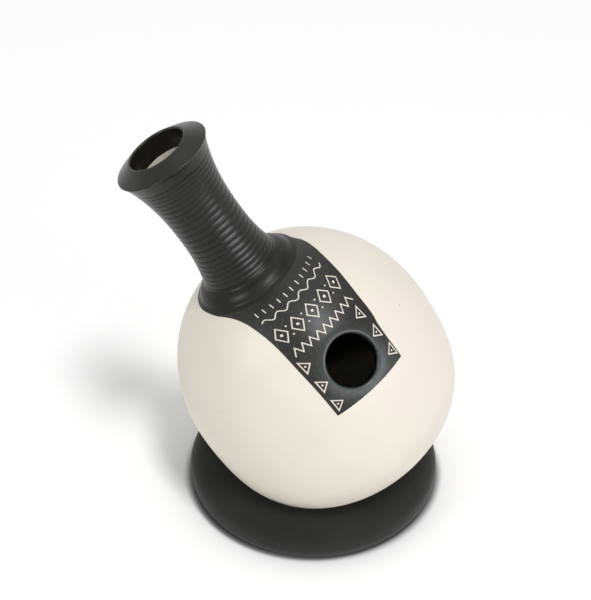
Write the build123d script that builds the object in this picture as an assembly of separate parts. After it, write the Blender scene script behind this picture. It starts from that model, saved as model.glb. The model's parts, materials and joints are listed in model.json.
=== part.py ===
"""Udu drum: a hollow clay pot with a ribbed neck and a side hole, sitting in a soft ring.

Millimetres. The origin is on the floor, at the centre of the ring. +Z is up, the neck leans
towards -X, and the side hole faces the player, on the -Y side.
The pot is first drawn upright round its own axis, as half sections with the radius along X and
the height along Y. Heights are counted from the belly's widest ring unless a comment says otherwise.
"""
import math
import os

from build123d import *

# Belly: a squarish ellipse turned round the neck's axis
BELLY_RADIUS = 125.0
CROWN_HEIGHT = 135.8
BASE_DEPTH = 117.0
CROWN_FULLNESS = 2.10
BASE_FULLNESS = 2.86
BELLY_WALL = 6.0

# How the pot sits: its lean, how deep it sinks into the ring, and its clearance there
LEAN_ANGLE = 29.7
SEAT_DEPTH = 30.7
SEAT_CLEARANCE = 0.3

# Film of slip that joins two pieces of clay
SLIP_FILM = 0.1

# Neck: a ribbed tube with a narrow waist, heights counted from the collar's edge on the belly
NECK_BORE_RADIUS = 25.0
NECK_LENGTH = 131.0
WAIST_RADIUS = 30.8
WAIST_HEIGHT = 65.2
FOOT_SPREAD = 5.9
HEAD_SPREAD = 8.4
SPREAD_POWER = 2.36
RIB_COUNT = 21
RIB_DEPTH = 0.45
RIB_FADE = 0.4
RIB_CROWDING = 0.18
RIB_ROUNDING = 1.4

# Collar round the foot of the neck, heights counted from its edge on the belly
COLLAR_RADIUS = 52.0
COLLAR_HEIGHT = 16.2
COLLAR_EDGE = 0.6
RIDGE_INSET = 9.4
RIDGE_HEIGHT = 9.6
HOLLOW_INSET = 4.5
HOLLOW_HEIGHT = 3.9

# Lip of the mouth, heights counted from the top of the neck tube
LIP_RADIUS = 45.2
LIP_PEAK_HEIGHT = 22.1
LIP_EDGE_HEIGHT = 12.8
LIP_EDGE_ROUNDING = 0.8
UNDERCUT_DEPTH = 1.8
UNDERCUT_HEIGHT = 2.0
MOUTH_FLARE = 2.1
MOUTH_ROUNDING = 1.6

# Side hole, its turn about the pot's axis from the uphill side, and the coil that thickens its edge
HOLE_RADIUS = 23.3
HOLE_HEIGHT = 55.4
HOLE_TURN = -53.3
RIM_WIDTH = 5.7
RIM_THICKENING = 3.0
RIM_EDGE_ROUNDING = 3.4
RIM_INNER_ROUNDING = 2.2

# Soft ring
RING_RADIUS = 122.0
RING_BORE_RADIUS = 60.0
RING_HEIGHT = 44.0
RING_OUTER_ROUNDING = 20.0
RING_INNER_ROUNDING = 9.0

# Spacing of the points that the belly's outline passes through, in degrees
OUTLINE_STEP = 9


def belly_radius_at(height):
    """Outer radius of the belly at a height between its widest ring and its crown."""
    share = 1 - (height / CROWN_HEIGHT) ** CROWN_FULLNESS
    return BELLY_RADIUS * share ** (1 / CROWN_FULLNESS)


def crown_height_at(radius):
    """Height of the belly's outside at a radius from the pot's axis."""
    share = 1 - (radius / BELLY_RADIUS) ** CROWN_FULLNESS
    return CROWN_HEIGHT * share ** (1 / CROWN_FULLNESS)


def hole_slope():
    """Angle in degrees by which the belly's outside faces up at the middle of the side hole."""
    power = CROWN_FULLNESS - 1
    outwards = (belly_radius_at(HOLE_HEIGHT) / BELLY_RADIUS) ** power / BELLY_RADIUS
    upwards = (HOLE_HEIGHT / CROWN_HEIGHT) ** power / CROWN_HEIGHT
    return math.degrees(math.atan2(upwards, outwards))


def lowest_reach():
    """How far the leaning belly reaches below the middle of its widest ring."""
    power = BASE_FULLNESS / (BASE_FULLNESS - 1)
    lean = math.radians(LEAN_ANGLE)
    across = (BELLY_RADIUS * math.sin(lean)) ** power
    along = (BASE_DEPTH * math.cos(lean)) ** power
    return (across + along) ** (1 / power)


# Height of the collar's edge on the belly, from which the neck is measured
NECK_START = crown_height_at(COLLAR_RADIUS)
NECK_TOP = NECK_START + NECK_LENGTH

# Where the drawn pot stands in the ring
POT_PLACE = Pos(0, 0, RING_HEIGHT - SEAT_DEPTH + lowest_reach()) * Rot(0, -LEAN_ANGLE, 0)


def quarter_outline(radius, height, fullness):
    """Points of a squarish quarter ellipse, from its widest ring to its pole."""
    points = []
    for angle in range(0, 90, OUTLINE_STEP):
        across = radius * math.cos(math.radians(angle)) ** (2 / fullness)
        along = height * math.sin(math.radians(angle)) ** (2 / fullness)
        points.append((across, along))
    points.append((0, height))
    return points


def belly_section(inset):
    """Half section of the belly as if it were full, its outside drawn in by the inset."""
    radius = BELLY_RADIUS - inset
    crown = quarter_outline(radius, CROWN_HEIGHT - inset, CROWN_FULLNESS)
    base = quarter_outline(radius, BASE_DEPTH - inset, BASE_FULLNESS)
    base = [(across, -along) for across, along in base]
    outline = [
        Spline(*crown, tangents=[(0, 1), (-1, 0)]),
        Spline(*base, tangents=[(0, -1), (-1, 0)]),
        Line(crown[-1], base[-1]),
    ]
    return make_face(outline)


def turned(section):
    """The solid that a half section turns to, standing upright."""
    return Rot(90, 0, 0) * revolve(section, axis=Axis.Y)


def rounded(section, corners):
    """The section with each corner, given as a point and a radius, rounded."""
    for point, radius in corners:
        corner = section.vertices().sort_by_distance(point)[0]
        section = fillet(corner, radius)
    return section


def hole_rod(radius):
    """A rod along the side hole, from the middle of the pot to well outside it."""
    middle = Pos(belly_radius_at(HOLE_HEIGHT), 0, HOLE_HEIGHT)
    rod = middle * Rot(0, 90 - hole_slope(), 0) * Cylinder(radius, 2 * BELLY_RADIUS)
    return Rot(0, 0, HOLE_TURN) * rod


def neck_radius_at(height):
    """Radius over the ribs at a height above the collar's edge."""
    if height < WAIST_HEIGHT:
        spread = FOOT_SPREAD
        share = (WAIST_HEIGHT - height) / (WAIST_HEIGHT - COLLAR_HEIGHT)
    else:
        spread = HEAD_SPREAD
        share = (height - WAIST_HEIGHT) / (NECK_LENGTH - WAIST_HEIGHT)
    return WAIST_RADIUS + spread * share**SPREAD_POWER


def rib_height(count):
    """Height of a rib boundary above the collar's edge: ribs crowd a little at both ends."""
    share = count / RIB_COUNT
    crowding = RIB_CROWDING * math.sin(2 * math.pi * share) / (2 * math.pi)
    return COLLAR_HEIGHT + (NECK_LENGTH - COLLAR_HEIGHT) * (share - crowding)


def rib_depth_at(height):
    """Depth of the grooves between the ribs, which fades towards the mouth."""
    share = (height - COLLAR_HEIGHT) / (NECK_LENGTH - COLLAR_HEIGHT)
    return RIB_DEPTH * (1 - RIB_FADE * share)


def belly():
    """The hollow pot, opened at its crown for the neck and at its side for the rim."""
    shell = turned(belly_section(0)) - turned(belly_section(BELLY_WALL))
    crown_opening = Pos(0, 0, CROWN_HEIGHT) * Cylinder(NECK_BORE_RADIUS, CROWN_HEIGHT)
    return shell - crown_opening - hole_rod(HOLE_RADIUS + RIM_WIDTH)


def foot_radius():
    """Outer radius of the plain foot of the neck, inside the collar."""
    return neck_radius_at(COLLAR_HEIGHT) - rib_depth_at(COLLAR_HEIGHT)


def neck():
    """The tube, standing on the belly, with one rounded rib after another up its outside."""
    grooves = []
    crests = []
    for count in range(RIB_COUNT + 1):
        height = rib_height(count)
        grooves.append((neck_radius_at(height) - rib_depth_at(height), NECK_START + height))
    for count in range(RIB_COUNT):
        height = (rib_height(count) + rib_height(count + 1)) / 2
        crests.append((neck_radius_at(height), NECK_START + height))
    outline = [
        ThreePointArc(grooves[count], crests[count], grooves[count + 1])
        for count in range(RIB_COUNT)
    ]
    outline.append(Polyline(
        grooves[-1],
        (NECK_BORE_RADIUS, NECK_TOP),
        (NECK_BORE_RADIUS, NECK_START),
        (foot_radius(), NECK_START),
        grooves[0],
    ))
    return turned(make_face(outline) - belly_section(-SLIP_FILM))


def neck_collar():
    """The flared coil round the neck's foot, with a soft ridge, feathered out onto the belly."""
    inside = foot_radius() + SLIP_FILM
    top = NECK_START + COLLAR_HEIGHT
    edge = (COLLAR_RADIUS, NECK_START + COLLAR_EDGE)
    flare = Spline(
        (inside, top),
        (neck_radius_at(COLLAR_HEIGHT), top - RIB_ROUNDING),
        (COLLAR_RADIUS - RIDGE_INSET, NECK_START + RIDGE_HEIGHT),
        (COLLAR_RADIUS - HOLLOW_INSET, NECK_START + HOLLOW_HEIGHT),
        edge,
        tangents=[(1, -1), (2, -1)],
    )
    sides = Polyline(
        edge,
        (COLLAR_RADIUS, NECK_START - COLLAR_HEIGHT),
        (inside, NECK_START - COLLAR_HEIGHT),
        (inside, top),
    )
    return turned(make_face([flare, sides]) - belly_section(-SLIP_FILM))


def mouth_lip():
    """The ring that ends the neck: a flare, a narrow undercut, a crisp edge and a bevel up to the mouth."""
    foot = (neck_radius_at(NECK_LENGTH) - rib_depth_at(NECK_LENGTH), NECK_TOP + SLIP_FILM)
    swell = (neck_radius_at(NECK_LENGTH + RIB_ROUNDING), NECK_TOP + RIB_ROUNDING)
    edge = (LIP_RADIUS, NECK_TOP + LIP_EDGE_HEIGHT)
    undercut = (LIP_RADIUS - UNDERCUT_DEPTH, NECK_TOP + LIP_EDGE_HEIGHT - UNDERCUT_HEIGHT)
    peak = (NECK_BORE_RADIUS + MOUTH_FLARE, NECK_TOP + LIP_PEAK_HEIGHT)
    flare = Spline(foot, swell, undercut, tangents=[(1, 1), (1, 2)])
    rest = Polyline(undercut, edge, peak, (NECK_BORE_RADIUS, NECK_TOP + SLIP_FILM), foot)
    corners = [(edge, LIP_EDGE_ROUNDING), (peak, MOUTH_ROUNDING)]
    return turned(rounded(make_face([flare, rest]), corners))


def bore_edges(coil):
    """The edges of the coil's bore, from the one inside the pot to the one outside."""
    bore = coil.faces().filter_by(GeomType.CYLINDER).sort_by(SortBy.AREA)[0]
    return bore.edges().filter_by(GeomType.LINE, reverse=True).sort_by_distance((0, 0, 0))


def sound_hole_rim():
    """The coil set into the side hole: flush outside, standing proud inside, rounded at its bore."""
    wall = turned(belly_section(0)) - turned(belly_section(BELLY_WALL + RIM_THICKENING))
    coil = (hole_rod(HOLE_RADIUS + RIM_WIDTH - SLIP_FILM) & wall) - hole_rod(HOLE_RADIUS)
    coil = fillet(bore_edges(coil)[-1], RIM_EDGE_ROUNDING)
    return fillet(bore_edges(coil)[0], RIM_INNER_ROUNDING)


def stand_ring():
    """The soft ring, rounded all round, with its seat pressed to the belly's shape."""
    outline = make_face(Polyline(
        (RING_BORE_RADIUS, 0),
        (RING_RADIUS, 0),
        (RING_RADIUS, RING_HEIGHT),
        (RING_BORE_RADIUS, RING_HEIGHT),
        close=True,
    ))
    corners = [
        ((RING_RADIUS, 0), RING_OUTER_ROUNDING),
        ((RING_RADIUS, RING_HEIGHT), RING_OUTER_ROUNDING),
        ((RING_BORE_RADIUS, 0), RING_INNER_ROUNDING),
    ]
    return turned(rounded(outline, corners)) - POT_PLACE * turned(belly_section(-SEAT_CLEARANCE))


def main():
    """Build every piece, place the clay pieces in the ring, and write one file for each."""
    clay_pieces = [belly, neck, neck_collar, mouth_lip, sound_hole_rim]
    pieces = {make.__name__: POT_PLACE * make() for make in clay_pieces}
    pieces["stand_ring"] = stand_ring()
    os.makedirs("parts", exist_ok=True)
    for name, piece in pieces.items():
        piece.label = name
        export_step(piece, f"parts/{name}.step")


main()
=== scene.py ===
"""Looks of the udu drum: burnished pale clay, black slip with scratched lines, and a soft foam ring.

Metres throughout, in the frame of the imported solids. The pot is turned round its neck's axis, so a
place on it has a height along that axis above the belly's widest ring, and a distance from the axis.
The black band is drawn flat, with its width across and its climb up the belly, and then laid on.
"""
import json
import math
import random

import bpy
import numpy as np
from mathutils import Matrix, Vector


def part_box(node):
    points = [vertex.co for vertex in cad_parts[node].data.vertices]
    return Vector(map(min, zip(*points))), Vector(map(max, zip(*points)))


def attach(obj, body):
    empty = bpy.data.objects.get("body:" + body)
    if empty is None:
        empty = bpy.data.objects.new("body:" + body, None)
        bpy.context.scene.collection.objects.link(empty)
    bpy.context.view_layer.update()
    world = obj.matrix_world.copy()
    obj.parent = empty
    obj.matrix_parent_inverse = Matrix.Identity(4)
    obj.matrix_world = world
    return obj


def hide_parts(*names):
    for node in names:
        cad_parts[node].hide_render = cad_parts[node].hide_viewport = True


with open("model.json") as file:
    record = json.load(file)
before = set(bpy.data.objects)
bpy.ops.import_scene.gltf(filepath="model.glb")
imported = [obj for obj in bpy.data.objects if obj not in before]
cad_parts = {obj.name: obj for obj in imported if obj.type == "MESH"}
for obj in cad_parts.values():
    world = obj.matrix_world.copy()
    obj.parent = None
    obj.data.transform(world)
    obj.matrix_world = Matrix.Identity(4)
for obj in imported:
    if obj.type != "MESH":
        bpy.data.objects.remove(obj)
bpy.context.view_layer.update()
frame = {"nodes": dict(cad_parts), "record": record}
random.seed(11)

# Belly's outside: a squarish ellipse turned round the neck's axis
BELLY_RADIUS = 0.125
CROWN_HEIGHT = 0.1358
CROWN_FULLNESS = 2.10
BASE_DEPTH = 0.117
BASE_FULLNESS = 2.86

# Neck: its ribs, which crowd at both ends, its bore's wall, and where the slip in the bore ends
RIBS_START = 0.1413
RIBS_END = 0.2561
RIB_COUNT = 21
RIB_CROWDING = 0.18
BORE_WALL = 0.0285
SLIP_LINE = 0.2582

# Black band: its edges as (distance across, height), its top under the collar, its film of slip
BAND_LEFT = [(-0.0408, 0.0256), (-0.0408, 0.0700), (-0.0405, 0.1140), (-0.0424, 0.1200),
             (-0.0454, 0.1230), (-0.0508, 0.1247)]
BAND_RIGHT = [(0.0378, 0.0235), (0.0405, 0.0586), (0.0427, 0.0655), (0.0463, 0.0860), (0.0501, 0.1000),
              (0.0539, 0.1135), (0.0556, 0.1180), (0.0553, 0.1220), (0.0526, 0.1244)]
BAND_TOP_RADIUS = 0.0516
BAND_TOP_TURNS = (-1.567, 1.653)
BAND_GRID = 0.003
BAND_HEIGHT_STEPS = 300
BAND_EDGE_STEPS = 10
BAND_MERGE = 0.00001
BAND_SMOOTH = math.radians(35)
SLIP_THICKNESS = 0.00026
SLIP_ROOT = 0.00006
SLIP_THINNEST = 0.3
HOLE_EDGE_RADIUS = 0.0272
HOLE_EDGE_CORNERS = 96
HOLE_TAPER = 0.004

# Search for a place: how often its span is halved, and the spans round the side hole
HALVINGS = 40
HOLE_DEPTH_MOST = 0.03
HOLE_EDGE_MOST = 0.05

# Scratched lines on the band
LINE_WIDTH = 0.0012
HAND_WOBBLE = 0.00014
LEAST_SLANT = 0.4
WAVE_STEPS = 12
DOT_CORNERS = 14
DOT_REACH = (0.92, 1.08)
LOZENGE_DOT = 0.0014
BETWEEN_DOT = 0.0009
BETWEEN_SPREAD = 0.6
TRIANGLE_LEFT = -0.0376
TRIANGLE_RIGHT = 0.0372
TRIANGLE_CLIMBS = (0.0115, 0.0335, 0.0555)
TRIANGLE_DEPTH = 0.0078
TRIANGLE_HALF_HEIGHT = 0.0060
TRIANGLE_DOT = 0.0010
TRIANGLE_DOT_DEPTH = 0.36

# Foam ring: its section, how finely it is spun, and how it swells beside the belly
RING_BORE_RADIUS = 0.060
RING_OUTER_ROUNDING = 0.020
RING_OUTER_SEGMENTS = 16
RING_INNER_ROUNDING = 0.009
RING_INNER_SEGMENTS = 8
RING_SLACK = 0.001
RING_LONG_EDGE = 0.008
RING_CUTS = 16
RING_STEPS = 220
RING_MERGE = 0.00005
SEAT_CLEARANCE = 0.0003
SEAT_BULGE = 0.0009
SEAT_BULGE_REACH = 0.008

# Camera of the photograph
CAMERA_PLACE = (-0.0178, -1.1131, 1.0606)
CAMERA_TILT = math.radians(53.01)
CAMERA_LENS = 90.8
CAMERA_SENSOR = 36

# Light: a tall key lamp far off in front at the right, lamps close by, and the fill from all round
KEY_DIRECTION = Vector((0.202, -0.371, 0.906))
KEY_DISTANCE = 60
KEY_LAMP = {"place": KEY_DIRECTION * KEY_DISTANCE, "target": (0, 0, 0.1),
            "size": (8.4, 15.0), "watts": 16290}
TOP_LAMP = {"place": (-0.1, 0.2, 2.2), "target": (0, 0, 0.1), "size": (1.8, 1.8), "watts": 6}
LEFT_LAMP = {"place": (-1.40, -1.00, 1.15), "target": (0, 0, 0.15), "size": (0.5, 0.5), "watts": 2.7}
LEFT_GLOSS_LAMP = {"place": (-1.41, -1.01, 1.15), "target": (0, 0, 0.15), "size": (0.5, 0.5), "watts": 8}
RIGHT_LAMP = {"place": (1.07, -1.06, 0.66), "target": (-0.05, 0, 0.25), "size": (0.8, 0.5), "watts": 4.0}
RIGHT_GLOSS_LAMP = {"place": (1.08, -1.07, 0.66), "target": (-0.05, 0, 0.25),
                    "size": (1.5, 0.45), "watts": 15}
FILL_STRENGTH = 0.43

# Floor: white paper with a painted shadow, a dark halo close round the ring, which fades out behind it
FLOOR_SIZE = 24
FLOOR_GLOW = 0.045
FLOOR_PAPER = (0.98, 0.98, 0.98)
PAINTED_SHADOW_MIDDLE = (0, 0.0124, 0)
PAINTED_SHADOW_START = 0.1212
PAINTED_SHADOW_END = 0.1325
PAINTED_SHADOW_BACK = (0.022, 0.070)
PAINTED_SHADOW_DARK = (0.10, 0.10, 0.10)

# Colours of the clay, the slip and the foam
YELLOW_CLAY = (0.795, 0.760, 0.660)
PINK_CLAY = (0.790, 0.725, 0.662)
CLOUDED_CLAY = (0.720, 0.682, 0.585)
# Darker colour along the turning lines
TURNING_LINE_DARK = (0.42, 0.38, 0.32)
CLAY_PIT = (0.10, 0.085, 0.07)
# Painted shade: near black for the belly's inside
INSIDE_PAINTED_SHADE = (0.07, 0.055, 0.045)
BARE_CLAY = (0.67, 0.64, 0.56)
DARK_SLIP = (0.0080, 0.0070, 0.0048)
LIGHT_SLIP = (0.0125, 0.0110, 0.0078)
# Paler bluish slip for wear and burnish strokes, and for painted highlight and sheen on rib crests and
# round the side hole
WORN_AND_SHEEN_SLIP = (0.080, 0.096, 0.097)
# Near black for pinholes, and for painted shade in rib grooves and on the side hole's wall
SHADE_AND_PINHOLE_BLACK = (0.004, 0.004, 0.004)
SLIP_GLOSS_TINT = (0.94, 0.985, 1.0, 1)
DARK_FOAM = (0.0132, 0.0132, 0.0124)
LIGHT_FOAM = (0.0200, 0.0198, 0.0187)
FOAM_PIT = (0.006, 0.006, 0.006)

# Marks and painted light: turning lines near the belly's base, slip inside the bore, and the painted
# highlight and sheen round the hole's edge
TURNING_RATE = 1700.0
TURNING_WANDER = 3.0
TURNING_START = -0.045
TURNING_FULL = -0.066
SLIP_LINE_WANDER = 0.0012
# Painted highlight along the side hole's rounded edge, and painted sheen fading out from it
HOLE_HIGHLIGHT_CREST = 0.0024
HOLE_HIGHLIGHT_WIDTH = 0.0013
HOLE_SHEEN_REACH = 0.0075
HOLE_SHEEN_STRENGTH = 0.22

# Places that the frame gives
MOUNTS = {mount["name"]: mount for mount in frame["record"]["mounts"]}
BORE_MIDDLE = Vector(MOUNTS["neck_bore"]["pos_m"])
POT_AXIS = Vector(MOUNTS["neck_bore"]["axis"]).normalized()
POT_CENTRE = BORE_MIDDLE - POT_AXIS * (BORE_MIDDLE.x / POT_AXIS.x)
POT_LEAN = math.atan2(POT_AXIS.x, POT_AXIS.z)
HOLE_MIDDLE = Vector(MOUNTS["sound_hole"]["pos_m"])
HOLE_AXIS = Vector(MOUNTS["sound_hole"]["axis"]).normalized()
HOLE_RADIUS = MOUNTS["sound_hole"]["dims"]["r_mm"] / 1000
HOLE_OFFSET = HOLE_MIDDLE - POT_CENTRE
HOLE_SIDE = (HOLE_OFFSET - POT_AXIS * HOLE_OFFSET.dot(POT_AXIS)).normalized()
ACROSS = POT_AXIS.cross(HOLE_SIDE)


# Shape of the belly

def belly_curve(height):
    """How far the belly reaches along its axis, and how full it is, above or below its widest ring."""
    return (CROWN_HEIGHT, CROWN_FULLNESS) if height > 0 else (BASE_DEPTH, BASE_FULLNESS)


def belly_radius(height):
    """Distance of the belly's outside from the axis."""
    reach, fullness = belly_curve(height)
    return BELLY_RADIUS * (1 - abs(height / reach) ** fullness) ** (1 / fullness)


def belly_level(point):
    """Size of a like belly through the point: 1 on the outside, less within, more beyond."""
    offset = point - POT_CENTRE
    height = offset.dot(POT_AXIS)
    radius = (offset - POT_AXIS * height).length
    reach, fullness = belly_curve(height)
    return ((radius / BELLY_RADIUS) ** fullness + abs(height / reach) ** fullness) ** (1 / fullness)


def height_at_radius(radius):
    """Height of the crown's outside at a distance from the axis."""
    return CROWN_HEIGHT * (1 - (radius / BELLY_RADIUS) ** CROWN_FULLNESS) ** (1 / CROWN_FULLNESS)


BAND_HEIGHTS = np.linspace(BAND_RIGHT[0][1], height_at_radius(BAND_TOP_RADIUS), BAND_HEIGHT_STEPS)
BAND_RADII = [belly_radius(height) for height in BAND_HEIGHTS]
BAND_CLIMBS = np.concatenate([[0], np.cumsum(np.hypot(np.diff(BAND_HEIGHTS), np.diff(BAND_RADII)))])
BAND_TOP = BAND_CLIMBS[-1]


def on_belly(across, climb, lift):
    """The point on the belly at a place of the flat band, lifted off the surface."""
    height = float(np.interp(climb, BAND_CLIMBS, BAND_HEIGHTS))
    radius = belly_radius(height)
    turn = across / radius
    side = HOLE_SIDE * math.cos(turn) + ACROSS * math.sin(turn)
    power = CROWN_FULLNESS - 1
    rise = (height / CROWN_HEIGHT) ** power / CROWN_HEIGHT
    spread = (radius / BELLY_RADIUS) ** power / BELLY_RADIUS
    outwards = (POT_AXIS * rise + side * spread).normalized()
    return POT_CENTRE + POT_AXIS * height + side * radius + outwards * lift


def flat_place(across, height):
    """Place on the flat band of a point at a straight distance across and a height."""
    radius = belly_radius(height)
    return radius * math.asin(across / radius), float(np.interp(height, BAND_HEIGHTS, BAND_CLIMBS))


def from_hole(point):
    """Distance of a point from the side hole's axis."""
    offset = point - HOLE_MIDDLE
    return (offset - HOLE_AXIS * offset.dot(HOLE_AXIS)).length


def solved(low, high, too_far):
    """The number between two where a test turns true."""
    for _ in range(HALVINGS):
        middle = (low + high) / 2
        low, high = (low, middle) if too_far(middle) else (middle, high)
    return low


HOLE_DEPTH = solved(0, HOLE_DEPTH_MOST, lambda reach: belly_level(HOLE_MIDDLE + HOLE_AXIS * reach) > 1)
HOLE_TOP = HOLE_MIDDLE + HOLE_AXIS * HOLE_DEPTH
HOLE_CLIMB = float(np.interp((HOLE_TOP - POT_CENTRE).dot(POT_AXIS), BAND_HEIGHTS, BAND_CLIMBS))


# Working by hand: selecting, editing and finishing a mesh

def nothing_selected():
    if bpy.context.object and bpy.context.object.mode != "OBJECT":
        bpy.ops.object.mode_set(mode="OBJECT")
    bpy.ops.object.select_all(action="DESELECT")


def select_points(piece, test):
    """Enter edit mode with only the vertices selected that pass the test."""
    bpy.ops.object.mode_set(mode="EDIT")
    bpy.ops.mesh.select_mode(type="VERT")
    bpy.ops.mesh.select_all(action="DESELECT")
    bpy.ops.object.mode_set(mode="OBJECT")
    for vertex in piece.data.vertices:
        vertex.select = test(vertex.co)
    bpy.ops.object.mode_set(mode="EDIT")


def select_long_edges(piece, length):
    """Enter edit mode with only the edges selected that are longer than a length."""
    bpy.ops.object.mode_set(mode="EDIT")
    bpy.ops.mesh.select_mode(type="EDGE")
    bpy.ops.mesh.select_all(action="DESELECT")
    bpy.ops.object.mode_set(mode="OBJECT")
    points = piece.data.vertices
    for edge in piece.data.edges:
        start, end = edge.vertices
        edge.select = (points[start].co - points[end].co).length > length
    bpy.ops.object.mode_set(mode="EDIT")


def finish_piece(piece, body, material):
    """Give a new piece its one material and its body."""
    piece.data.materials.clear()
    piece.data.materials.append(material)
    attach(piece, body)


# Scratched lines, drawn flat as closed loops of (across, climb)

def wobbled(point):
    """The point as a hand would hit it."""
    across = point[0] + random.uniform(-HAND_WOBBLE, HAND_WOBBLE)
    return across, point[1] + random.uniform(-HAND_WOBBLE, HAND_WOBBLE)


def stroke(points, width):
    """Loop round a line of the given width through the points, mitred at its corners."""
    points = [Vector(wobbled(point)) for point in points]
    left = []
    right = []
    for index, point in enumerate(points):
        ahead = (points[min(index + 1, len(points) - 1)] - point).normalized()
        behind = (point - points[max(index - 1, 0)]).normalized()
        along = (ahead + behind).normalized()
        slant = max(along.dot(ahead), along.dot(behind), LEAST_SLANT)
        offset = Vector((-along.y, along.x)) * (width / 2 / slant)
        left.append(point + offset)
        right.append(point - offset)
    start = points[0] - (points[1] - points[0]).normalized() * (width / 2)
    end = points[-1] + (points[-1] - points[-2]).normalized() * (width / 2)
    return [start, *left, end, *reversed(right)]


def dot(middle, radius):
    """Loop of a dot pressed with a stick's end."""
    loop = []
    for corner in range(DOT_CORNERS):
        turn = 2 * math.pi * corner / DOT_CORNERS
        reach = radius * random.uniform(*DOT_REACH)
        loop.append(Vector((middle[0] + reach * math.cos(turn), middle[1] + reach * math.sin(turn))))
    return loop


def outlined(corners, width):
    """Two loops that leave a line of the given width round a closed shape, drawn anticlockwise."""
    corners = [Vector(wobbled(corner)) for corner in corners]
    outer = []
    inner = []
    for index, corner in enumerate(corners):
        ahead = (corners[(index + 1) % len(corners)] - corner).normalized()
        behind = (corner - corners[index - 1]).normalized()
        along = (ahead + behind).normalized()
        offset = Vector((along.y, -along.x)) * (width / 2 / along.dot(ahead))
        outer.append(corner + offset)
        inner.append(corner - offset)
    return [outer, inner]


def zigzag_row(climb, left, right, teeth, swing):
    """A zigzag across the band."""
    points = []
    for tooth in range(2 * teeth + 1):
        across = left + (right - left) * tooth / (2 * teeth)
        points.append((across, climb + (swing if tooth % 2 else -swing)))
    return [stroke(points, LINE_WIDTH)]


def lozenge_row(climb, left, right, count, half_width, half_height):
    """Lozenges across the band, each with a dot in it, and small dots between them."""
    loops = []
    pitch = (right - left) / (count - 1)
    for number in range(count):
        across = left + pitch * number
        corners = [(across + half_width, climb), (across, climb + half_height),
                   (across - half_width, climb), (across, climb - half_height)]
        loops += outlined(corners, LINE_WIDTH)
        loops.append(dot((across, climb), LOZENGE_DOT))
        if number:
            loops.append(dot((across - pitch / 2, climb + BETWEEN_SPREAD * half_height), BETWEEN_DOT))
            loops.append(dot((across - pitch / 2, climb - BETWEEN_SPREAD * half_height), BETWEEN_DOT))
    return loops


def wave_row(climb, left, right, waves, swing):
    """A wavy line across the band."""
    steps = WAVE_STEPS * waves
    points = []
    for step in range(steps + 1):
        across = left + (right - left) * step / steps
        points.append((across, climb + swing * math.sin(2 * math.pi * waves * step / steps)))
    return [stroke(points, LINE_WIDTH)]


def dash_row(climb, left, right, count, half_height):
    """Short upright dashes across the band."""
    loops = []
    for number in range(count):
        across = left + (right - left) * number / (count - 1)
        loops.append(stroke([(across, climb - half_height), (across, climb + half_height)], LINE_WIDTH))
    return loops


def dotted_triangle(across, climb, depth):
    """A triangle that points along the band's width, with a dot in it."""
    rise = math.copysign(TRIANGLE_HALF_HEIGHT, depth)
    corners = [(across, climb - rise), (across + depth, climb), (across, climb + rise)]
    return [*outlined(corners, LINE_WIDTH), dot((across + depth * TRIANGLE_DOT_DEPTH, climb), TRIANGLE_DOT)]


def scratched_loops():
    """Every scratched line of the band."""
    loops = []
    loops += zigzag_row(climb=0.0705, left=-0.0345, right=0.0400, teeth=9, swing=0.0036)
    loops += lozenge_row(climb=0.0895, left=-0.0300, right=0.0400, count=5,
                         half_width=0.0062, half_height=0.0082)
    loops += wave_row(climb=0.1080, left=-0.0340, right=0.0480, waves=6, swing=0.0021)
    loops += dash_row(climb=0.1175, left=-0.0320, right=0.0470, count=11, half_height=0.0023)
    for climb in TRIANGLE_CLIMBS:
        loops += dotted_triangle(TRIANGLE_LEFT, climb, TRIANGLE_DEPTH)
        loops += dotted_triangle(TRIANGLE_RIGHT, climb, -TRIANGLE_DEPTH)
    return loops


# Pieces

def hole_loop():
    """Loop of the band round the side hole."""
    loop = []
    for corner in range(HOLE_EDGE_CORNERS):
        turn = 2 * math.pi * corner / HOLE_EDGE_CORNERS
        step = Vector((math.cos(turn), math.sin(turn)))
        reach = solved(0, HOLE_EDGE_MOST, lambda length: from_hole(
            on_belly(step.x * length, HOLE_CLIMB + step.y * length, 0)) > HOLE_EDGE_RADIUS)
        loop.append(Vector((0, HOLE_CLIMB)) + step * reach)
    return loop


def add_loop(curve, loop):
    """A closed loop of straight runs in a flat curve."""
    spline = curve.splines.new("POLY")
    spline.points.add(len(loop) - 1)
    for point, place in zip(spline.points, loop):
        point.co = (place[0], place[1], 0, 1)
    spline.use_cyclic_u = True


def add_band_outline(curve):
    """The band's outer edge: smooth up its sides, sharp at its four corners."""
    left = [flat_place(*edge) for edge in BAND_LEFT]
    right = [flat_place(*edge) for edge in BAND_RIGHT]
    ends = [(BAND_TOP_RADIUS * turn, BAND_TOP) for turn in reversed(BAND_TOP_TURNS)]
    loop = [*right, *ends, *reversed(left)]
    sharp = {0, len(right), len(right) + 1, len(loop) - 1}
    spline = curve.splines.new("BEZIER")
    spline.bezier_points.add(len(loop) - 1)
    for index, (point, place) in enumerate(zip(spline.bezier_points, loop)):
        point.co = (place[0], place[1], 0)
        point.handle_left_type = point.handle_right_type = "VECTOR" if index in sharp else "AUTO"
    spline.use_cyclic_u = True
    spline.resolution_u = BAND_EDGE_STEPS


def cut_in_grid(low, high, normal):
    """Cut the mesh in edit mode by evenly spaced planes, so that it can follow the belly."""
    cuts = int((high - low) / BAND_GRID)
    for cut in range(1, cuts):
        place = low + (high - low) * cut / cuts
        bpy.ops.mesh.select_all(action="SELECT")
        bpy.ops.mesh.bisect(plane_co=Vector(normal) * place, plane_no=normal)


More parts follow.
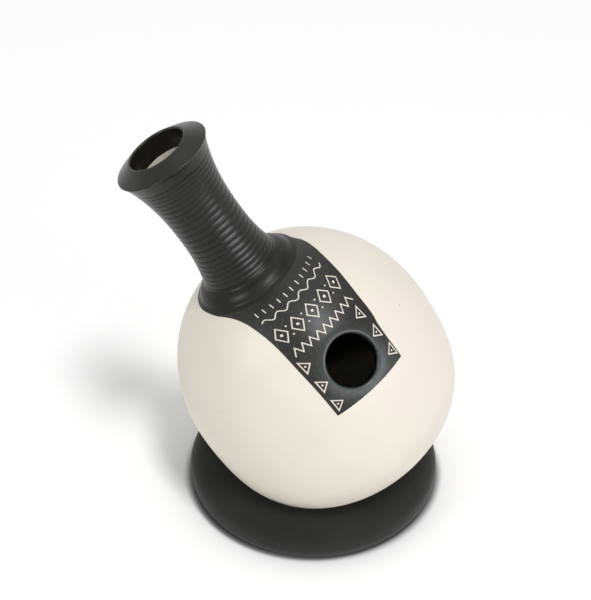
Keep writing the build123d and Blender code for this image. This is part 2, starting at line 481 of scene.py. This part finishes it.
def slip_band(material):
    """The film of black slip on the belly, with lines scratched through to the clay."""
    nothing_selected()
    curve = bpy.data.curves.new("slip_band", "CURVE")
    curve.dimensions = "2D"
    curve.fill_mode = "BOTH"
    add_band_outline(curve)
    add_loop(curve, hole_loop())
    for loop in scratched_loops():
        add_loop(curve, loop)
    band = bpy.data.objects.new("slip_band", curve)
    bpy.context.scene.collection.objects.link(band)
    band.select_set(True)
    bpy.context.view_layer.objects.active = band
    bpy.ops.object.convert(target="MESH")
    band = bpy.context.object
    places = [vertex.co.copy() for vertex in band.data.vertices]
    bpy.ops.object.mode_set(mode="EDIT")
    cut_in_grid(min(place.x for place in places), max(place.x for place in places), (1, 0, 0))
    cut_in_grid(min(place.y for place in places), max(place.y for place in places), (0, 1, 0))
    bpy.ops.mesh.select_all(action="SELECT")
    bpy.ops.mesh.remove_doubles(threshold=BAND_MERGE)
    bpy.ops.object.mode_set(mode="OBJECT")
    film = band.vertex_groups.new(name="film")
    for vertex in band.data.vertices:
        vertex.co = on_belly(vertex.co.x, vertex.co.y, -SLIP_ROOT)
        thickness = (from_hole(vertex.co) - HOLE_EDGE_RADIUS) / HOLE_TAPER
        film.add([vertex.index], min(max(thickness, SLIP_THINNEST), 1), "REPLACE")
    bpy.ops.object.mode_set(mode="EDIT")
    bpy.ops.mesh.select_all(action="SELECT")
    bpy.ops.mesh.normals_make_consistent(inside=False)
    bpy.ops.object.mode_set(mode="OBJECT")
    if sum(face.normal.dot(HOLE_AXIS) for face in band.data.polygons) < 0:
        band.data.flip_normals()
    solidify = band.modifiers.new("film", "SOLIDIFY")
    solidify.thickness = SLIP_THICKNESS + SLIP_ROOT
    solidify.offset = 1
    solidify.vertex_group = "film"
    bpy.ops.object.modifier_apply(modifier="film")
    bpy.ops.object.shade_smooth_by_angle(angle=BAND_SMOOTH)
    finish_piece(band, "drum", material)


def press_seat(ring, top):
    """Push the foam out of the belly, and let it swell a little beside the belly."""
    for vertex in ring.data.vertices:
        offset = vertex.co - POT_CENTRE
        gap = offset.length * (1 - 1 / belly_level(vertex.co))
        if gap < SEAT_CLEARANCE:
            vertex.co -= offset.normalized() * (gap - SEAT_CLEARANCE)
        elif vertex.co.z > top / 2:
            vertex.co.z += SEAT_BULGE * math.exp(-(gap / SEAT_BULGE_REACH) ** 2)


def foam_ring(material):
    """The soft ring: a rounded section spun round, with its seat pressed in by the belly."""
    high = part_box("stand_ring")[1]
    width = high.x - RING_BORE_RADIUS
    nothing_selected()
    bpy.ops.mesh.primitive_plane_add(size=1, location=(high.x - width / 2, 0, high.z / 2),
                                     rotation=(math.pi / 2, 0, 0))
    ring = bpy.context.object
    ring.name = "foam_ring"
    ring.scale = (width, high.z, 1)
    bpy.ops.object.transform_apply(location=True, rotation=True, scale=True)
    select_points(ring, lambda place: place.x > high.x - width / 2)
    bpy.ops.mesh.bevel(offset=RING_OUTER_ROUNDING, segments=RING_OUTER_SEGMENTS, affect="VERTICES")
    select_points(ring, lambda place: place.x < RING_BORE_RADIUS + RING_SLACK and place.z < RING_SLACK)
    bpy.ops.mesh.bevel(offset=RING_INNER_ROUNDING, segments=RING_INNER_SEGMENTS, affect="VERTICES")
    bpy.ops.mesh.select_all(action="SELECT")
    bpy.ops.mesh.delete(type="ONLY_FACE")
    select_long_edges(ring, RING_LONG_EDGE)
    bpy.ops.mesh.subdivide(number_cuts=RING_CUTS)
    bpy.ops.mesh.select_all(action="SELECT")
    bpy.ops.mesh.spin(steps=RING_STEPS, angle=2 * math.pi, center=(0, 0, 0), axis=(0, 0, 1))
    bpy.ops.mesh.select_all(action="SELECT")
    bpy.ops.mesh.remove_doubles(threshold=RING_MERGE)
    bpy.ops.mesh.normals_make_consistent(inside=False)
    bpy.ops.object.mode_set(mode="OBJECT")
    press_seat(ring, high.z)
    bpy.ops.object.shade_smooth()
    finish_piece(ring, "ring", material)
    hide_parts("stand_ring")


# Nodes

def put(tree, kind, inputs=None, **settings):
    """A new node with its settings, and its inputs set to values or joined to sockets."""
    node = tree.nodes.new(kind)
    for name, value in settings.items():
        setattr(node, name, value)
    for name, value in (inputs or {}).items():
        if isinstance(value, bpy.types.NodeSocket):
            tree.links.new(value, node.inputs[name])
        else:
            node.inputs[name].default_value = value
    return node


def sums(tree, operation, first, second=0.0):
    """The result of a sum on two values or sockets."""
    return put(tree, "ShaderNodeMath", {0: first, 1: second}, operation=operation).outputs[0]


def ramp(tree, value, start, end, low=0.0, high=1.0):
    """A smooth change from low to high as the value goes from start to end."""
    inputs = {"Value": value, "From Min": start, "From Max": end, "To Min": low, "To Max": high}
    return put(tree, "ShaderNodeMapRange", inputs, interpolation_type="SMOOTHSTEP").outputs["Result"]


def blended(tree, share, first, second):
    """A colour between two, given as colours or sockets."""
    inputs = {"Factor": share, "A": first, "B": second}
    node = tree.nodes.new("ShaderNodeMix")
    node.data_type = "RGBA"
    for socket in node.inputs:
        if socket.name in inputs and (socket.type == "RGBA" or socket.identifier == "Factor_Float"):
            value = inputs[socket.name]
            if isinstance(value, bpy.types.NodeSocket):
                tree.links.new(value, socket)
            else:
                socket.default_value = value if socket.identifier == "Factor_Float" else (*value, 1)
    return next(socket for socket in node.outputs if socket.type == "RGBA")


def noise(tree, place, scale, detail=3.0, roughness=0.55):
    """A noise value between 0 and 1."""
    inputs = {"Vector": place, "Scale": scale, "Detail": detail, "Roughness": roughness}
    return put(tree, "ShaderNodeTexNoise", inputs).outputs["Fac"]


def new_group(name, inputs, outputs):
    """An empty node group with named sockets. Returns the group, its input node and its output node."""
    group = bpy.data.node_groups.new(name, "ShaderNodeTree")
    for socket, value in inputs.items():
        made = group.interface.new_socket(socket, in_out="INPUT", socket_type="NodeSocketFloat")
        made.default_value = value
    for socket, kind in outputs.items():
        group.interface.new_socket(socket, in_out="OUTPUT", socket_type=kind)
    return group, group.nodes.new("NodeGroupInput"), group.nodes.new("NodeGroupOutput")


def placed(tree, group, **inputs):
    """A node group placed in a material."""
    node = put(tree, "ShaderNodeGroup", node_tree=group)
    for name, value in inputs.items():
        socket = node.inputs[name.replace("_", " ")]
        if isinstance(value, bpy.types.NodeSocket):
            tree.links.new(value, socket)
        else:
            socket.default_value = value
    return node.outputs


def turned_place(tree, middle, turn):
    """Object coordinates as seen from a middle with its own axes."""
    place = put(tree, "ShaderNodeTexCoord").outputs["Object"]
    inputs = {"Vector": place, "Location": middle, "Rotation": turn}
    return put(tree, "ShaderNodeMapping", inputs, vector_type="TEXTURE").outputs["Vector"]


def pot_place_group():
    """Where a point is on the pot: height, distance from the axis, and belly level."""
    group, _, out = new_group("pot_place", {}, {
        "Place": "NodeSocketVector", "Height": "NodeSocketFloat", "Radius": "NodeSocketFloat",
        "Level": "NodeSocketFloat"})
    place = turned_place(group, POT_CENTRE, (0, POT_LEAN, 0))
    parts = put(group, "ShaderNodeSeparateXYZ", {0: place}).outputs
    flat = put(group, "ShaderNodeCombineXYZ", {"X": parts["X"], "Y": parts["Y"]}).outputs[0]
    radius = put(group, "ShaderNodeVectorMath", {0: flat}, operation="LENGTH").outputs["Value"]
    above = sums(group, "DIVIDE", sums(group, "MAXIMUM", parts["Z"], 0.0), CROWN_HEIGHT)
    below = sums(group, "DIVIDE", sums(group, "MINIMUM", parts["Z"], 0.0), -BASE_DEPTH)
    wide = sums(group, "POWER", sums(group, "DIVIDE", radius, BELLY_RADIUS), CROWN_FULLNESS)
    tall = sums(group, "POWER", above, CROWN_FULLNESS)
    deep = sums(group, "POWER", below, BASE_FULLNESS)
    level = sums(group, "ADD", wide, sums(group, "ADD", tall, deep))
    for name, socket in {"Place": place, "Height": parts["Z"], "Radius": radius, "Level": level}.items():
        group.links.new(socket, out.inputs[name])
    return group


def clay_grain_group():
    """What fired clay shows all over: slow mottling, fine grain and a few dark pinholes."""
    group, given, out = new_group(
        "clay_grain",
        {"Mottle Scale": 12.0, "Grain Scale": 1400.0, "Pinhole Scale": 42.0, "Pinhole Size": 0.02},
        {"Mottle": "NodeSocketFloat", "Grain": "NodeSocketFloat", "Pinholes": "NodeSocketFloat"})
    place = put(group, "ShaderNodeTexCoord").outputs["Object"]
    mottle = noise(group, place, given.outputs["Mottle Scale"], detail=4.0)
    grain = noise(group, place, given.outputs["Grain Scale"], detail=3.0, roughness=0.65)
    cells = put(group, "ShaderNodeTexVoronoi", {"Vector": place, "Scale": given.outputs["Pinhole Scale"]})
    chance = put(group, "ShaderNodeSeparateColor", {0: cells.outputs["Color"]}).outputs[0]
    size = sums(group, "MULTIPLY", given.outputs["Pinhole Size"], ramp(group, chance, 0.30, 0.50))
    share = sums(group, "DIVIDE", cells.outputs["Distance"], sums(group, "ADD", size, 0.0001))
    pinholes = ramp(group, share, 1.0, 0.6)
    for name, socket in {"Mottle": mottle, "Grain": grain, "Pinholes": pinholes}.items():
        group.links.new(socket, out.inputs[name])
    return group


def slip_finish_group(clay_grain):
    """Black slip: its colour and roughness where it is fresh, where wear and painted highlight pale it, and
    where painted shade darkens it, and its grain.
    """
    group, given, out = new_group("slip_finish", {"Rub": 0.0, "Soot": 0.0}, {
        "Color": "NodeSocketColor", "Roughness": "NodeSocketFloat", "Grain": "NodeSocketFloat"})
    clay = placed(group, clay_grain, Mottle_Scale=38.0, Grain_Scale=1100.0,
                  Pinhole_Scale=60.0, Pinhole_Size=0.02)
    tone = ramp(group, clay["Mottle"], 0.3, 0.75)
    fresh = blended(group, tone, DARK_SLIP, LIGHT_SLIP)
    # Paler for wear, and for painted highlight and sheen.
    worn_and_lit = blended(group, given.outputs["Rub"], fresh, WORN_AND_SHEEN_SLIP)
    # Painted shade darkens it.
    shaded = blended(group, given.outputs["Soot"], worn_and_lit, SHADE_AND_PINHOLE_BLACK)
    colour = blended(group, clay["Pinholes"], shaded, SHADE_AND_PINHOLE_BLACK)
    rough = ramp(group, clay["Mottle"], 0.25, 0.8, 0.25, 0.32)
    rough = sums(group, "ADD", rough, sums(group, "MULTIPLY", given.outputs["Rub"], -0.06))
    grain = sums(group, "SUBTRACT", clay["Grain"], clay["Pinholes"])
    for name, socket in {"Color": colour, "Roughness": rough, "Grain": grain}.items():
        group.links.new(socket, out.inputs[name])
    return group


# Finishes

def new_material(name):
    """A material with nothing but its shader. Returns the material, its tree and the shader."""
    material = bpy.data.materials.new(name)
    material.use_nodes = True
    return material, material.node_tree, material.node_tree.nodes["Principled BSDF"]


def put_on(tree, shader, colour, rough, bump):
    """Join a finish to its shader."""
    tree.links.new(colour, shader.inputs["Base Color"])
    tree.links.new(rough, shader.inputs["Roughness"])
    tree.links.new(bump, shader.inputs["Normal"])


def burnished_clay(pot_place, clay_grain):
    """The belly: pale satin clay, a little pink and a little yellow, with turning lines near its base."""
    material, tree, shader = new_material("burnished_clay")
    pot = placed(tree, pot_place)
    clay = placed(tree, clay_grain, Mottle_Scale=9.0, Grain_Scale=1500.0,
                  Pinhole_Scale=46.0, Pinhole_Size=0.03)
    aside = put(tree, "ShaderNodeSeparateXYZ", {0: pot["Place"]}).outputs["X"]
    drift = sums(tree, "MULTIPLY", noise(tree, pot["Place"], 13.0, detail=2.0), 0.30)
    blush = ramp(tree, sums(tree, "ADD", aside, drift), 0.14, 0.27)
    ground = blended(tree, blush, YELLOW_CLAY, PINK_CLAY)
    clouded = blended(tree, ramp(tree, clay["Mottle"], 0.45, 0.8, 0.0, 0.55), ground, CLOUDED_CLAY)
    wander = sums(tree, "MULTIPLY", noise(tree, pot["Place"], 30.0), TURNING_WANDER)
    turning = sums(tree, "ADD", sums(tree, "MULTIPLY", pot["Height"], TURNING_RATE), wander)
    turns = sums(tree, "SINE", turning)
    patches = ramp(tree, noise(tree, pot["Place"], 22.0), 0.35, 0.6)
    near_base = sums(tree, "MULTIPLY", ramp(tree, pot["Height"], TURNING_START, TURNING_FULL), patches)
    lines = sums(tree, "MULTIPLY", turns, near_base)
    # Darker colour along the turning lines, where their relief is lowest.
    line_darkened = blended(tree, ramp(tree, lines, 0.1, 0.9, 0.0, 0.24), clouded, TURNING_LINE_DARK)
    pitted = blended(tree, clay["Pinholes"], line_darkened, CLAY_PIT)
    # Painted shade: the belly's inside is coloured near black.
    within = ramp(tree, pot["Level"], 0.975, 0.95)
    colour = blended(tree, within, pitted, INSIDE_PAINTED_SHADE)
    grain = sums(tree, "MULTIPLY", clay["Grain"], 0.08)
    relief = sums(tree, "SUBTRACT", grain, sums(tree, "MULTIPLY", lines, 0.3))
    relief = sums(tree, "SUBTRACT", relief, clay["Pinholes"])
    bump = put(tree, "ShaderNodeBump", {"Height": relief, "Strength": 0.5, "Distance": 0.0006}).outputs[0]
    rough = ramp(tree, clay["Mottle"], 0.2, 0.8, 0.36, 0.48)
    shader.inputs["Specular IOR Level"].default_value = 0.25
    put_on(tree, shader, colour, rough, bump)
    return material


def black_slip(name, pot_place, slip_finish, wear_light_shade_at, specular=0.25, dulled=0.0):
    """Satin black slip outside and a little way into the bore, and bare clay deeper in it.
    The fourth argument gives, from the tree and the place on the pot, how pale (wear, painted highlight)
    and how dark (painted shade) the slip is.
    dulled is how much rougher it is than the ribs."""
    material, tree, shader = new_material(name)
    pot = placed(tree, pot_place)
    wear_and_sheen, painted_shade = wear_light_shade_at(tree, pot)
    slip = placed(tree, slip_finish, Rub=wear_and_sheen, Soot=painted_shade)
    wander = sums(tree, "MULTIPLY", noise(tree, pot["Place"], 90.0), SLIP_LINE_WANDER)
    edge = sums(tree, "ADD", pot["Height"], wander)
    deep = ramp(tree, edge, SLIP_LINE + 0.0010, SLIP_LINE + 0.0002)
    bore = ramp(tree, pot["Radius"], BORE_WALL + 0.0002, BORE_WALL - 0.0002)
    bare = sums(tree, "MULTIPLY", deep, bore)
    colour = blended(tree, bare, slip["Color"], BARE_CLAY)
    rough = sums(tree, "ADD", slip["Roughness"], dulled)
    rough = sums(tree, "ADD", sums(tree, "MULTIPLY", bare, 0.2), rough)
    relief = {"Height": slip["Grain"], "Strength": 0.12, "Distance": 0.0002}
    bump = put(tree, "ShaderNodeBump", relief).outputs[0]
    shader.inputs["Specular IOR Level"].default_value = specular
    shader.inputs["Specular Tint"].default_value = SLIP_GLOSS_TINT
    put_on(tree, shader, colour, rough, bump)
    return material


def rib_crest_light_and_groove_shade(tree, pot):
    """Rib crests are painted paler, as rubbing and as painted highlight, and the grooves are darkened with
    painted shade.
    """
    share = sums(tree, "DIVIDE", sums(tree, "SUBTRACT", pot["Height"], RIBS_START), RIBS_END - RIBS_START)
    sway = sums(tree, "SINE", sums(tree, "MULTIPLY", share, 2 * math.pi))
    count = sums(tree, "ADD", share, sums(tree, "MULTIPLY", sway, RIB_CROWDING / (2 * math.pi)))
    phase = sums(tree, "FRACT", sums(tree, "MULTIPLY", count, RIB_COUNT))
    from_crest = sums(tree, "ABSOLUTE", sums(tree, "SUBTRACT", phase, 0.5))
    patchy = ramp(tree, noise(tree, pot["Place"], 34.0), 0.35, 0.65, 0.35, 1.0)
    # Painted shade in the grooves; paler crests as rubbing and painted highlight.
    groove_shade = sums(tree, "MULTIPLY", ramp(tree, from_crest, 0.36, 0.5), patchy)
    return ramp(tree, from_crest, 0.3, 0.05, 0.0, 0.10), groove_shade


def plain_wear(tree, pot):
    """Rubbed here and there."""
    return ramp(tree, noise(tree, pot["Place"], 26.0), 0.5, 0.8, 0.0, 0.15), 0.0


def round_the_hole(tree):
    """Distance from the side hole's axis, and a weak ring of painted sheen that fades outwards from the
    hole.
    """
    turn = HOLE_AXIS.to_track_quat("Z", "Y").to_euler()
    parts = put(tree, "ShaderNodeSeparateXYZ", {0: turned_place(tree, HOLE_MIDDLE, turn)}).outputs
    flat = put(tree, "ShaderNodeCombineXYZ", {"X": parts["X"], "Y": parts["Y"]}).outputs[0]
    radius = put(tree, "ShaderNodeVectorMath", {0: flat}, operation="LENGTH").outputs["Value"]
    # Painted sheen: paler slip fading outwards from the hole's edge.
    painted_sheen = ramp(tree, radius, HOLE_RADIUS + HOLE_SHEEN_REACH, HOLE_RADIUS + HOLE_HIGHLIGHT_CREST, 0.0, HOLE_SHEEN_STRENGTH)
    return radius, painted_sheen


def hole_painted_light(tree, pot):
    """Painted highlight along the top of the hole's rounded edge, uneven and with painted sheen round it,
    and painted shade on its wall.
    """
    radius, painted_sheen = round_the_hole(tree)
    uneven = ramp(tree, noise(tree, pot["Place"], 45.0), 0.25, 0.75, 0.75, 1.0)
    from_crest = sums(tree, "ABSOLUTE", sums(tree, "SUBTRACT", radius, HOLE_RADIUS + HOLE_HIGHLIGHT_CREST))
    # Painted highlight: a pale line along the top of the hole's rounded edge.
    crest_highlight = sums(tree, "MULTIPLY", ramp(tree, from_crest, HOLE_HIGHLIGHT_WIDTH, 0.0002), uneven)
    # Painted shade: the hole's wall is coloured dark.
    wall = ramp(tree, radius, HOLE_RADIUS + 0.0010, HOLE_RADIUS + 0.0002)
    return sums(tree, "MAXIMUM", crest_highlight, painted_sheen), wall


def burnish_strokes_and_sheen(tree, pot):
    """Strokes of the burnishing stone run up the band, and a ring of painted sheen fades outwards round the
    side hole.
    """
    stretch = {"Vector": pot["Place"], "Scale": (1.0, 1.0, 0.06)}
    stretched = put(tree, "ShaderNodeMapping", stretch).outputs[0]
    strokes = noise(tree, stretched, 420.0, detail=2.0)
    # Painted sheen round the side hole.
    _, painted_sheen = round_the_hole(tree)
    return sums(tree, "MAXIMUM", ramp(tree, strokes, 0.45, 0.8, 0.0, 0.22), painted_sheen), 0.0


def dark_foam(clay_grain):
    """The ring: matte dark foam with fine cells."""
    material, tree, shader = new_material("dark_foam")
    cells = placed(tree, clay_grain, Mottle_Scale=22.0, Grain_Scale=750.0,
                   Pinhole_Scale=70.0, Pinhole_Size=0.03)
    tone = ramp(tree, sums(tree, "ADD", cells["Mottle"], cells["Grain"]), 0.75, 1.35)
    ground = blended(tree, tone, DARK_FOAM, LIGHT_FOAM)
    colour = blended(tree, cells["Pinholes"], ground, FOAM_PIT)
    relief = sums(tree, "SUBTRACT", cells["Grain"], cells["Pinholes"])
    bump = put(tree, "ShaderNodeBump", {"Height": relief, "Strength": 0.35, "Distance": 0.0004}).outputs[0]
    rough = ramp(tree, cells["Grain"], 0.2, 0.8, 0.72, 0.9)
    shader.inputs["Specular IOR Level"].default_value = 0.12
    shader.inputs["Sheen Weight"].default_value = 0.14
    shader.inputs["Sheen Roughness"].default_value = 0.5
    put_on(tree, shader, colour, rough, bump)
    return material


# Stage

def seen_directly(tree):
    """1 for what the camera sees, also in a gloss, and 0 for light that falls on things."""
    rays = put(tree, "ShaderNodeLightPath").outputs
    glossy = sums(tree, "MAXIMUM", rays["Is Glossy Ray"], rays["Is Transmission Ray"])
    return sums(tree, "MAXIMUM", rays["Is Camera Ray"], glossy)


def white_floor():
    """A wide white floor that keeps the shadow, with a painted shadow darkest close round the ring."""
    nothing_selected()
    bpy.ops.mesh.primitive_plane_add(size=FLOOR_SIZE, location=(0, 0, 0))
    floor = bpy.context.object
    floor.name = "floor"
    material, tree, shader = new_material("white_floor")
    place = put(tree, "ShaderNodeTexCoord").outputs["Object"]
    # Painted shadow: the paper is coloured dark close round the ring, and pale further out and behind it.
    from_middle = put(tree, "ShaderNodeVectorMath", {0: place, 1: PAINTED_SHADOW_MIDDLE}, operation="DISTANCE")
    reach = from_middle.outputs["Value"]
    behind = ramp(tree, put(tree, "ShaderNodeSeparateXYZ", {0: place}).outputs["Y"], *PAINTED_SHADOW_BACK)
    pale = sums(tree, "MAXIMUM", ramp(tree, reach, PAINTED_SHADOW_START, PAINTED_SHADOW_END), behind)
    paper = blended(tree, pale, PAINTED_SHADOW_DARK, FLOOR_PAPER)
    tree.links.new(paper, shader.inputs["Base Color"])
    tree.links.new(paper, shader.inputs["Emission Color"])
    glow = sums(tree, "MULTIPLY", seen_directly(tree), FLOOR_GLOW)
    tree.links.new(glow, shader.inputs["Emission Strength"])
    shader.inputs["Roughness"].default_value = 1.0
    shader.inputs["Specular IOR Level"].default_value = 0.0
    floor.data.materials.append(material)


def white_world():
    """A white surround where it is seen, and a dimmer one as fill light."""
    world = bpy.data.worlds.new("surround")
    bpy.context.scene.world = world
    world.use_nodes = True
    tree = world.node_tree
    back = tree.nodes["Background"]
    back.inputs["Color"].default_value = (1, 1, 1, 1)
    tree.links.new(ramp(tree, seen_directly(tree), 0.0, 1.0, FILL_STRENGTH, 1.0), back.inputs["Strength"])


def softbox(name, place, target, size, watts, gloss_only=False):
    """A rectangular lamp that faces a target. A gloss lamp shows in reflections alone."""
    bpy.ops.object.light_add(type="AREA", location=place)
    lamp = bpy.context.object
    lamp.name = name
    lamp.data.shape = "RECTANGLE"
    lamp.data.size, lamp.data.size_y = size
    lamp.data.energy = watts
    lamp.visible_diffuse = not gloss_only
    lamp.rotation_euler = (Vector(target) - Vector(place)).to_track_quat("-Z", "Y").to_euler()


def lights_and_camera():
    """The lamps, and the photograph's camera."""
    nothing_selected()
    softbox("key_softbox", **KEY_LAMP)
    softbox("top_softbox", **TOP_LAMP)
    softbox("left_softbox", **LEFT_LAMP)
    softbox("left_gloss_softbox", **LEFT_GLOSS_LAMP, gloss_only=True)
    softbox("right_softbox", **RIGHT_LAMP)
    softbox("right_gloss_softbox", **RIGHT_GLOSS_LAMP, gloss_only=True)
    bpy.ops.object.camera_add(location=CAMERA_PLACE, rotation=(CAMERA_TILT, 0, 0))
    camera = bpy.context.object
    camera.data.lens = CAMERA_LENS
    camera.data.sensor_width = CAMERA_SENSOR
    bpy.context.scene.camera = camera


def main():
    """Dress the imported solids, add the band and the foam ring, and light the scene."""
    pot_place = pot_place_group()
    clay_grain = clay_grain_group()
    slip_finish = slip_finish_group(clay_grain)
    finishes = {
        "belly": burnished_clay(pot_place, clay_grain),
        "neck": black_slip("ribbed_slip", pot_place, slip_finish, rib_crest_light_and_groove_shade),
        "neck_collar": black_slip("collar_slip", pot_place, slip_finish, plain_wear,
                                  specular=0.19, dulled=0.06),
        "mouth_lip": black_slip("lip_slip", pot_place, slip_finish, plain_wear, specular=0.3),
        "sound_hole_rim": black_slip("hole_rim_slip", pot_place, slip_finish, hole_painted_light),
    }
    for node, material in finishes.items():
        for slot in frame["nodes"][node].material_slots:
            slot.material = material
    slip_band(black_slip("band_slip", pot_place, slip_finish, burnish_strokes_and_sheen, specular=0.34, dulled=0.08))
    foam_ring(dark_foam(clay_grain))
    white_floor()
    white_world()
    lights_and_camera()
    bpy.context.scene.view_settings.view_transform = "Standard"


main()
